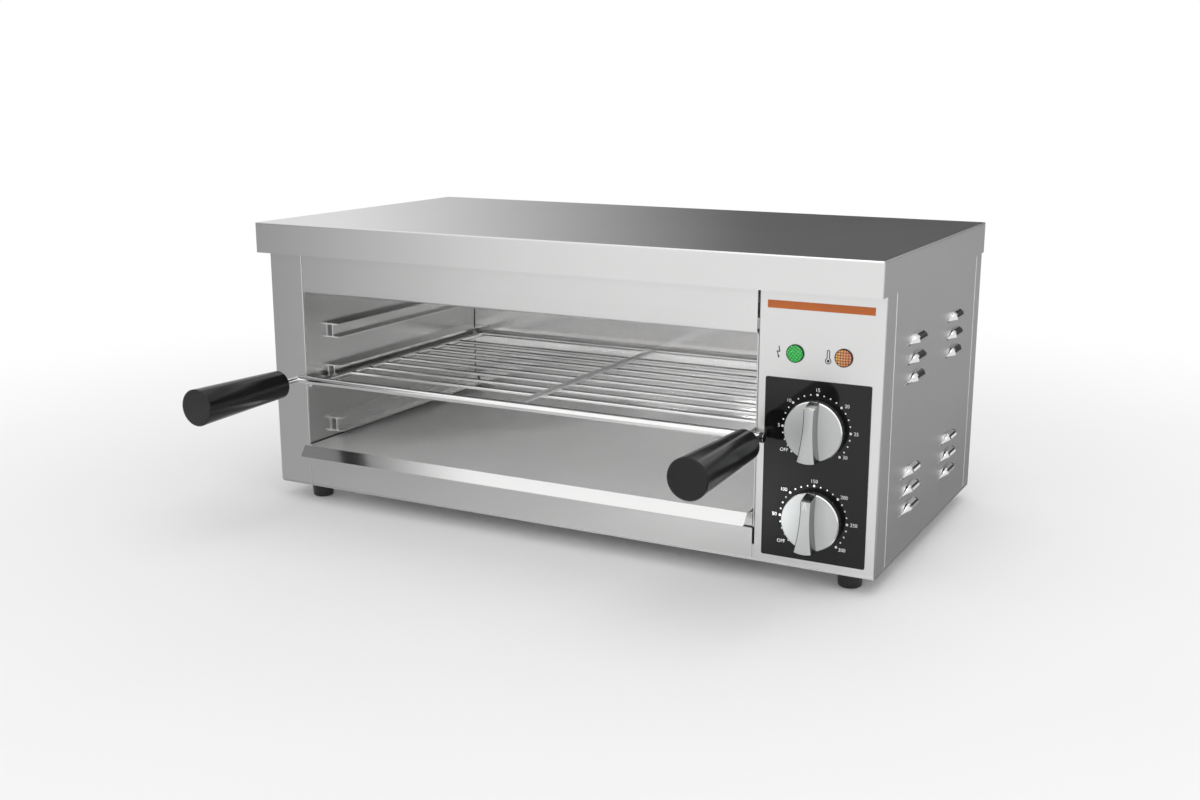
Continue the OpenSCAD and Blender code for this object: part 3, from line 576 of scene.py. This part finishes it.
def add_scale(name, knob, labels, look):
    """White print round a knob: large dots with labels, and three small dots between them."""
    x0, z0 = front_centre(knob)
    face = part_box("dial_plate")[0].y
    bm = bmesh.new()
    for step in range(MARK_STEPS * SMALL_STEPS + 1):
        angle = math.radians(FIRST_MARK - MARK_STEP * step / SMALL_STEPS)
        dot = SMALL_DOT if step % SMALL_STEPS else LARGE_DOT
        x, z = x0 + DOT_RING * math.cos(angle), z0 + DOT_RING * math.sin(angle)
        add_prism(bm, circle_points(x, z, dot, DOT_POINTS), face, INK)
    for words, dx, dz in labels:
        text_mesh(bm, words, LABEL_SIZE, (x0 + dx * MM, face - INK / 2, z0 + dz * MM), INK)
    make_piece(name, bm, look, "cabinet")


# ---------- Signs beside the lamps ----------

STROKE = 0.8 * MM


def add_stroke(bm, a, b, width, y):
    """Adds one straight printed line between two points in x and z."""
    along = Vector((b[0] - a[0], b[1] - a[1])).normalized() * width / 2
    across = Vector((-along.y, along.x))
    ends = (Vector(a) - along, Vector(b) + along)
    corners = [ends[0] - across, ends[1] - across, ends[1] + across, ends[0] + across]
    add_prism(bm, [tuple(c) for c in corners], y, INK)


def add_flash(look):
    """Lightning sign beside the power lamp: three strokes that end in an arrow head."""
    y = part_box("control_fascia")[0].y
    line = [(x * MM, z * MM) for x, z in ((215.0, 197.0), (215.7, 193.0), (213.6, 193.1), (214.8, 188.8))]
    head = [(x * MM, z * MM) for x, z in ((215.6, 189.6), (213.8, 189.2), (215.2, 187.3))]
    bm = bmesh.new()
    for a, b in zip(line, line[1:]):
        add_stroke(bm, a, b, STROKE, y)
    add_prism(bm, head, y, INK)
    bmesh.ops.recalc_face_normals(bm, faces=bm.faces)
    make_piece("power_sign", bm, look, "cabinet")


THERMOMETER_X = 256.1 * MM
TUBE_TOP_Z = 196.4 * MM
BULB_Z = 188.8 * MM
BULB_CORE = 1.2 * MM
TOP_STEPS = 8
BULB_STEPS = 20


def thermometer_outline(tube_r, bulb_r):
    """Outline of a thermometer: the round top of its tube, then its bulb."""
    rise = math.asin(tube_r / bulb_r)
    top = arc_points(THERMOMETER_X, TUBE_TOP_Z, tube_r, TOP_STEPS, 0.0, math.pi)
    bulb = arc_points(THERMOMETER_X, BULB_Z, bulb_r, BULB_STEPS, math.pi / 2 + rise,
                      2 * math.pi - 2 * rise)
    return top + bulb


def add_thermometer(look):
    """Thermometer sign beside the heating lamp."""
    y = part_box("control_fascia")[0].y
    bm = bmesh.new()
    outer = thermometer_outline(tube_r=1.35 * MM, bulb_r=2.6 * MM)
    inner = thermometer_outline(tube_r=0.62 * MM, bulb_r=1.9 * MM)
    add_band(bm, outer, inner, y, INK)
    add_prism(bm, circle_points(THERMOMETER_X, BULB_Z, BULB_CORE, BULB_STEPS), y, INK)
    make_piece("heating_sign", bm, look, "cabinet")


# ---------- Lamps ----------

LAMP_POINTS = 64
LENS_RADIUS = 6.6 * MM

# Profile of a rim in mm: out from the lens, and ahead of the rim's foot
RIM_PROFILE = [(0, 0), (0, 1.2), (0.12, 1.4), (0.63, 1.4), (0.75, 1.1), (0.75, 0)]

# The lens: how far its dome falls and its pyramids rise, and its least height at the edge
DOME_FALL = 0.9 * MM
PYRAMID_RISE = 0.35 * MM
LEAST_HEIGHT = 1.0 * MM
CELLS_PER_PITCH = 5

# The lens's plain edge: how far in from its radius it begins, and where its side wall begins
EDGE_WIDTH = 0.5 * MM
EDGE_FALL = 1.15 * MM


def add_rim(name, node, look):
    """Thin turned-in rim of a lamp, close round its lens."""
    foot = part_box(node)[1].y
    x0, z0 = front_centre(node)
    bm = bmesh.new()
    rings = [add_ring(bm, circle_points(x0, z0, LENS_RADIUS + out * MM, LAMP_POINTS), foot - ahead * MM)
             for out, ahead in RIM_PROFILE]
    join_rings(bm, rings + rings[:1])
    bmesh.ops.recalc_face_normals(bm, faces=bm.faces)
    piece = make_piece(name, bm, look, "cabinet")
    smooth_by_angle(piece, ROUND_SHADING)
    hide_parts("lamp_bezels")


def add_lens(name, node, look, turn):
    """Domed lens moulded with a fine grid of small pyramids."""
    low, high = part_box(node)
    x0, z0 = front_centre(node)
    face, foot = low.y, high.y
    cell = LENS_PITCH / CELLS_PER_PITCH
    count = int(LENS_RADIUS / cell)
    bm = bmesh.new()
    grid = {}
    for i in range(-count, count + 1):
        for k in range(-count, count + 1):
            x, z = i * cell, k * cell
            r = math.hypot(x, z)
            if r > LENS_RADIUS:
                continue
            u, w = x * math.cos(turn) - z * math.sin(turn), x * math.sin(turn) + z * math.cos(turn)
            sides = [abs((v / LENS_PITCH) % 1 - 0.5) for v in (u, w)]
            y = face + DOME_FALL * (r / LENS_RADIUS) ** 2 + PYRAMID_RISE * max(sides) * 2
            grid[i, k] = bm.verts.new((x0 + x, min(y, foot - LEAST_HEIGHT), z0 + z))
    for (i, k), corner in grid.items():
        others = [grid.get((i + 1, k)), grid.get((i + 1, k + 1)), grid.get((i, k + 1))]
        if all(others):
            bm.faces.new([corner] + others)
    profile = [(LENS_RADIUS - EDGE_WIDTH, face + DOME_FALL), (LENS_RADIUS, face + EDGE_FALL),
               (LENS_RADIUS, foot)]
    rings = [add_ring(bm, circle_points(x0, z0, r, LAMP_POINTS), y) for r, y in profile]
    join_rings(bm, rings)
    bm.faces.new(rings[-1])
    bmesh.ops.recalc_face_normals(bm, faces=bm.faces)
    piece = make_piece(name, bm, look, "cabinet")
    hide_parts(node)


# ---------- Small parts ----------

# Profile of the cap in mm: along the bar from its end, and out from its surface
CAP_PROFILE = [(-3.6, 0.05), (-3.6, 0.3), (-0.6, 0.3), (0.2, -0.3), (0.5, -1.2)]
CAP_POINTS = 40


def add_bar_cap(look):
    """Rounded black cap on the right end of the rack's front bar."""
    low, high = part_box("rack_front_bar")
    y0, z0 = (low.y + high.y) / 2, (low.z + high.z) / 2
    bar_r = (high.z - low.z) / 2
    bm = bmesh.new()
    rings = []
    for along, out in CAP_PROFILE:
        circle = circle_points(y0, z0, bar_r + out * MM, CAP_POINTS)
        rings.append([bm.verts.new((high.x + along * MM, y, z)) for y, z in circle])
    join_rings(bm, rings)
    bm.faces.new(rings[0])
    bm.faces.new(rings[-1])
    bmesh.ops.recalc_face_normals(bm, faces=bm.faces)
    piece = make_piece("front_bar_cap", bm, look, "wire_rack")
    smooth_by_angle(piece, ROUND_SHADING)


ARROW_TIP = 21.0 * MM
ARROW_LENGTH = 6.6 * MM
ARROW_SPREAD = 1.5 * MM
ARROW_STROKE = 0.7 * MM
ARROW_SINK = 0.02 * MM


def add_arrow(look):
    """Small moulded arrow near the top of the thermostat knob's bar."""
    x0, z0 = front_centre("thermostat_knob")
    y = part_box("thermostat_knob")[0].y + ARROW_SINK
    tip = (x0, z0 + ARROW_TIP)
    bm = bmesh.new()
    for side in (-ARROW_SPREAD, ARROW_SPREAD):
        add_stroke(bm, (x0 + side, tip[1] - ARROW_LENGTH), tip, ARROW_STROKE, y)
    bmesh.ops.recalc_face_normals(bm, faces=bm.faces)
    make_piece("thermostat_arrow", bm, look, "thermostat_dial")


# A thin strip of painted shade along the left front edge of each knob's bar
EDGE_SHADE_WIDTH = 0.5 * MM
EDGE_SHADE_LIFT = 0.03 * MM
BAR_DEPTH = 7 * MM


def is_left_front(front, flank):
    """True for the edge between a face towards the user and a flank that looks to the left."""
    return front.normal.y <= -0.9 and flank.normal.x <= -0.8


def add_painted_edge_shade(dial, look):
    """Thin dark strip of painted shade along the left front edge of a knob's bar."""
    node = dial + "_knob"
    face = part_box(node)[0].y
    source = plain_copy(node)
    bm = bmesh.new()
    for edge in source.edges:
        if len(edge.link_faces) != 2:
            continue
        front, flank = sorted(edge.link_faces, key=lambda f: f.normal.y)
        a, b = (v.co for v in edge.verts)
        if not is_left_front(front, flank) or (a.y + b.y) / 2 > face + BAR_DEPTH:
            continue
        inward = front.normal.cross((b - a).normalized())
        if inward.x < 0:
            inward.negate()
        lift, width = front.normal * EDGE_SHADE_LIFT, inward * EDGE_SHADE_WIDTH
        rings = [[bm.verts.new(corner + shift) for corner in (a, b, b + width, a + width)]
                 for shift in (-lift, lift)]
        bm.faces.new(rings[0])
        bm.faces.new(rings[1])
        join_rings(bm, rings)
    source.free()
    bmesh.ops.recalc_face_normals(bm, faces=bm.faces)
    make_piece(dial + "_bar_painted_shade", bm, look, dial + "_dial")


# ---------- Stage ----------

FLOOR_COLOUR = grey(0.88)
FLOOR_REACH = 20

# Where the floor begins to turn white and where it is white, from this centre, as seen by the camera
# and as reflected in the object
FADE_CENTRE = (0.03, 0.03, 0)
FADE_SEEN = (0.20, 1.22)
FADE_REFLECTED = (0.20, 0.60)

WORLD_LIGHT = 0.70
HIDDEN_FROM = ("camera", "diffuse", "shadow", "transmission", "volume_scatter")


def new_card(name, corners, material):
    """One flat face with a material of its own."""
    bm = bmesh.new()
    for corner in corners:
        bm.verts.new(corner)
    bm.faces.new(bm.verts)
    mesh = bpy.data.meshes.new(name)
    bm.to_mesh(mesh)
    bm.free()
    mesh.materials.append(material)
    card = bpy.data.objects.new(name, mesh)
    scene.collection.objects.link(card)
    return card


def floor_material():
    """Pale floor that turns into the white background away from the object."""
    n = new_material("floor_pale")
    distance = n.add("ShaderNodeVectorMath", {0: n.own(), 1: FADE_CENTRE},
                     operation="DISTANCE").outputs["Value"]
    path = n.add("ShaderNodeLightPath").outputs
    seen = n.calc("MAXIMUM", path["Is Camera Ray"], path["Is Transmission Ray"])
    fade_seen = n.calc("MULTIPLY", n.smooth(distance, *FADE_SEEN), seen)
    fade_reflected = n.calc("MULTIPLY", n.smooth(distance, *FADE_REFLECTED), path["Is Glossy Ray"])
    speck = n.noise(n.coords(), 3.0)
    shade = n.blend(n.span(speck, 0, 1), tint(FLOOR_COLOUR, 0.99), tint(FLOOR_COLOUR, 1.01))
    matt = n.add("ShaderNodeBsdfDiffuse", {"Color": shade})
    white = n.add("ShaderNodeEmission", {"Color": WHITE, "Strength": 1.0})
    return n.mixed(n.calc("MAXIMUM", fade_seen, fade_reflected), matt, white)


def add_floor():
    far = FLOOR_REACH
    corners = [(x, y, 0) for x, y in ((-far, -far), (far, -far), (far, far), (-far, far))]
    floor = new_card("floor", corners, floor_material())


def add_world():
    """White where it is seen or reflected, and softer as light on the object."""
    world = bpy.data.worlds.new("studio")
    scene.world = world
    n = Nodes(world, "ShaderNodeOutputWorld")
    path = n.add("ShaderNodeLightPath").outputs
    seen = n.calc("MAXIMUM", path["Is Camera Ray"], path["Is Glossy Ray"])
    light = n.add("ShaderNodeBackground", {"Color": WHITE, "Strength": WORLD_LIGHT})
    white = n.add("ShaderNodeBackground", {"Color": WHITE, "Strength": 1.0})
    n.mixed(n.calc("MAXIMUM", seen, path["Is Transmission Ray"]), light, white)


def add_flag(name, x, y, z, greys, ramp, soft):
    """Grey studio card that only shows in reflections.

    Two of x, y and z are the card's limits in metres and the third is its place. The greys are its
    tones from the first to the second place of the ramp, along its first side, and soft gives the
    widths of its fading edges: at the low and high end of its first side, then of its second.
    """
    sides = [i for i, v in enumerate((x, y, z)) if isinstance(v, tuple)]
    spans = [(x, y, z)[i] for i in sides]
    corners = []
    for u, v in ((0, 0), (1, 0), (1, 1), (0, 1)):
        corner = [x, y, z]
        corner[sides[0]] = spans[0][u]
        corner[sides[1]] = spans[1][v]
        corners.append(corner)
    n = new_material(name)
    edges = []
    for k, side in enumerate(sides):
        place = n.place("XYZ"[side])
        low, high = spans[k]
        rise, fall = soft[2 * k:2 * k + 2]
        edges += [n.smooth(place, low, low + rise), n.smooth(place, high - fall, high, 1, 0)]
    cover = edges[0]
    for edge in edges[1:]:
        cover = n.calc("MULTIPLY", cover, edge)
    tone = n.span(n.place("XYZ"[sides[0]]), *greys, *ramp)
    clear = n.add("ShaderNodeBsdfTransparent")
    card = n.add("ShaderNodeEmission", {"Color": WHITE, "Strength": tone})
    flag = new_card(name, corners, n.mixed(cover, clear, card))
    for ray in HIDDEN_FROM:
        setattr(flag, "visible_" + ray, False)


def add_lamp(name, at, aim, size, power, spread=180, reflected=True):
    """Area lamp in metres, watts and degrees of spread. Unless reflected, it only lights."""
    data = bpy.data.lights.new(name, "AREA")
    data.shape = "RECTANGLE"
    data.size, data.size_y = size
    data.energy = power
    data.spread = math.radians(spread)
    lamp = bpy.data.objects.new(name, data)
    lamp.location = at
    lamp.rotation_euler = (Vector(aim) - Vector(at)).to_track_quat("-Z", "Y").to_euler()
    lamp.visible_glossy = reflected
    lamp.visible_camera = False
    scene.collection.objects.link(lamp)


def add_flags():
    add_flag("flag_back", x=(-2.6, 0.75), y=1.9, z=(0.0, 2.8),
             greys=(0.86, 0.02), ramp=(-1.80, -0.62), soft=(0.5, 0.4, 0.06, 0.9))
    add_flag("flag_back_right", x=(0.45, 1.7), y=1.95, z=(0.06, 1.0),
             greys=(0.06, 0.06), ramp=(0.45, 1.7), soft=(0.25, 0.4, 0.12, 0.4))
    add_flag("flag_right_floor", x=(0.303, 1.8), y=(-0.5, 3.0), z=0.004,
             greys=(0.225, 0.35), ramp=(0.31, 0.46), soft=(0.006, 0.3, 0.15, 0.4))
    add_flag("flag_left", x=-0.64, y=(-1.22, 0.10), z=(-0.1, 0.50),
             greys=(0.98, 0.34), ramp=(-1.14, -0.50), soft=(0.05, 0.10, 0.02, 0.12))
    add_flag("flag_left_high", x=-0.62, y=(-0.80, 0.00), z=(0.22, 0.80),
             greys=(0.20, 0.20), ramp=(-0.8, 0.0), soft=(0.20, 0.10, 0.20, 0.30))
    add_flag("flag_left_floor", x=(-1.10, 0.06), y=(-0.80, -0.085), z=0.004,
             greys=(0.41, 0.62), ramp=(-0.30, 0.06), soft=(0.2, 0.08, 0.20, 0.01))


def add_lamps():
    add_lamp("lamp_top", at=(0.4, -0.1, 1.9), aim=(0.1, 0, 0), size=(1.8, 1.8), power=11)
    add_lamp("lamp_front", at=(0.1, -2.2, 1.4), aim=(0, 0, 0.15), size=(1.6, 1.0), power=6)
    add_lamp("lamp_right", at=(2.0, -0.3, 0.9), aim=(0.4, 0.1, 0.0), size=(1.6, 1.2), power=2.8,
             reflected=False)
    add_lamp("lamp_opening", at=(-1.174, -1.714, 0.30), aim=(0.03, -0.05, 0.078), size=(0.36, 0.05),
             power=0.36, spread=3, reflected=False)
    add_lamp("lamp_cavity", at=(0.05, -1.9, 0.50), aim=(-0.05, 0.05, 0.11), size=(0.4, 0.1),
             power=0.18, spread=8, reflected=False)


# ---------- Scene ----------

KNOB_ROUNDING = 0.5 * MM

add_camera()
looks = {**metals(), **lamp_plastics(), **other_materials()}
dress_nodes(looks)

add_scale("timer_scale", "timer_knob", TIMER_LABELS, looks["print_white"])
add_scale("thermostat_scale", "thermostat_knob", THERMOSTAT_LABELS, looks["print_white"])
add_flash(looks["print_black"])
add_thermometer(looks["print_black"])
for lamp in ("green", "amber"):
    add_lens(lamp + "_lamp_grid", lamp + "_lens", looks[lamp], LENS_TURN[lamp])
for lamp in ("green", "amber"):
    add_rim(lamp + "_lamp_rim", lamp + "_lens", looks[lamp + "_rim"])

add_bar_cap(looks["knob_black"])
add_arrow(looks["knob_mark"])
for dial in ("timer", "thermostat"):
    add_painted_edge_shade(dial, looks["knob_edge_shade"])
    add_soft_copy(dial + "_cap", dial + "_knob", looks["knob_silver"], dial + "_dial",
                  KNOB_ROUNDING)
    add_soft_copy(dial + "_body_ring", dial + "_knob_base", looks["knob_black"], dial + "_dial",
                  KNOB_ROUNDING)

add_floor()
add_world()
add_flags()
add_lamps()

scene.view_settings.view_transform = "Standard"
